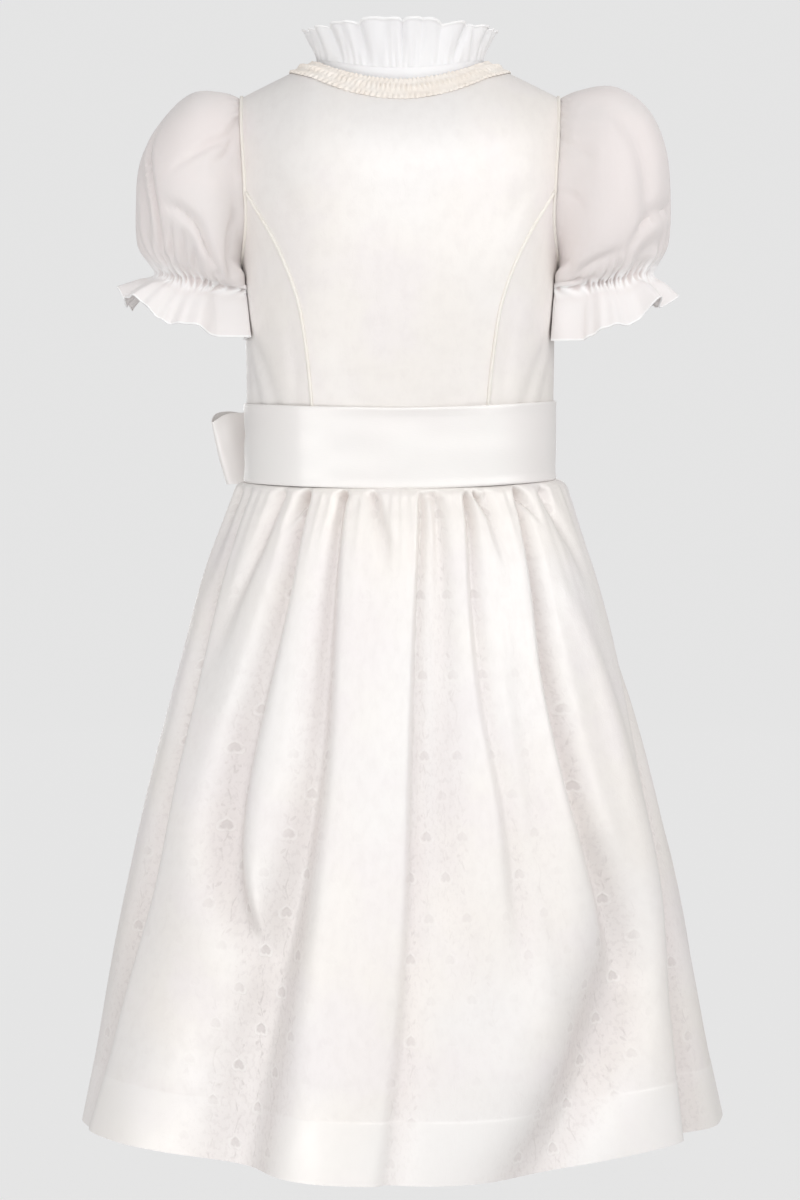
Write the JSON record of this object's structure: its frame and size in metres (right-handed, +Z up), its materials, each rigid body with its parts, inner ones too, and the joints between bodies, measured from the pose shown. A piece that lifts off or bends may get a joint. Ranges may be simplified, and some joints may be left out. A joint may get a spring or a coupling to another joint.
{
  "type": "girl's festive dirndl with sash and puff-sleeved blouse, as worn",
  "caption": "Knee-length folk dress kept as worn: princess-cut bodice, pleated skirt, tied sash with a bow, frilled stand collar and short puff sleeves.",
  "frame": {"origin": "middle of the shoulder line, between the two shoulder seams at their height, where the wearer's shoulders carry the dress", "axes": "+Z up the dress; the wearer looks along -Y, so the back of the dress faces +Y; +X is the wearer's left, the side of the bow"},
  "size_m": [0.4952, 0.3768, 0.8461],
  "materials": {
    "brocade": "ivory jacquard with a soft sheen and small tone-on-tone sprigs",
    "satin": "ivory satin, smooth, with a broad sheen",
    "blouse_cotton": "fine white cotton, matt and slightly sheer",
    "trim": "cream ruched ribbon, softly puckered",
    "piping": "cream satin-covered cord",
    "button": "small ivory shank button, soft gloss"
  },
  "bodies": {
    "root": {"back_centre": "brocade", "back_side_left": "brocade", "back_side_right": "brocade", "front_left": "brocade", "front_right": "brocade", "neck_trim": "trim", "piping_back_left": "piping", "piping_back_right": "piping", "piping_armhole_left": "piping", "piping_armhole_right": "piping", "blouse_yoke": "blouse_cotton", "collar_band": "blouse_cotton", "collar_frill": "blouse_cotton", "sleeve_left": "blouse_cotton", "sleeve_right": "blouse_cotton", "skirt_back": "brocade", "skirt_front": "brocade", "sash_band": "satin", "sash_knot": "satin", "bow_loop_front": "satin", "bow_loop_side": "satin", "sash_tail_side": "satin", "sash_tail_front": "satin", "button_1": "button", "button_2": "button", "button_3": "button", "button_4": "button", "button_5": "button", "button_6": "button"}
  },
  "joints": []
}
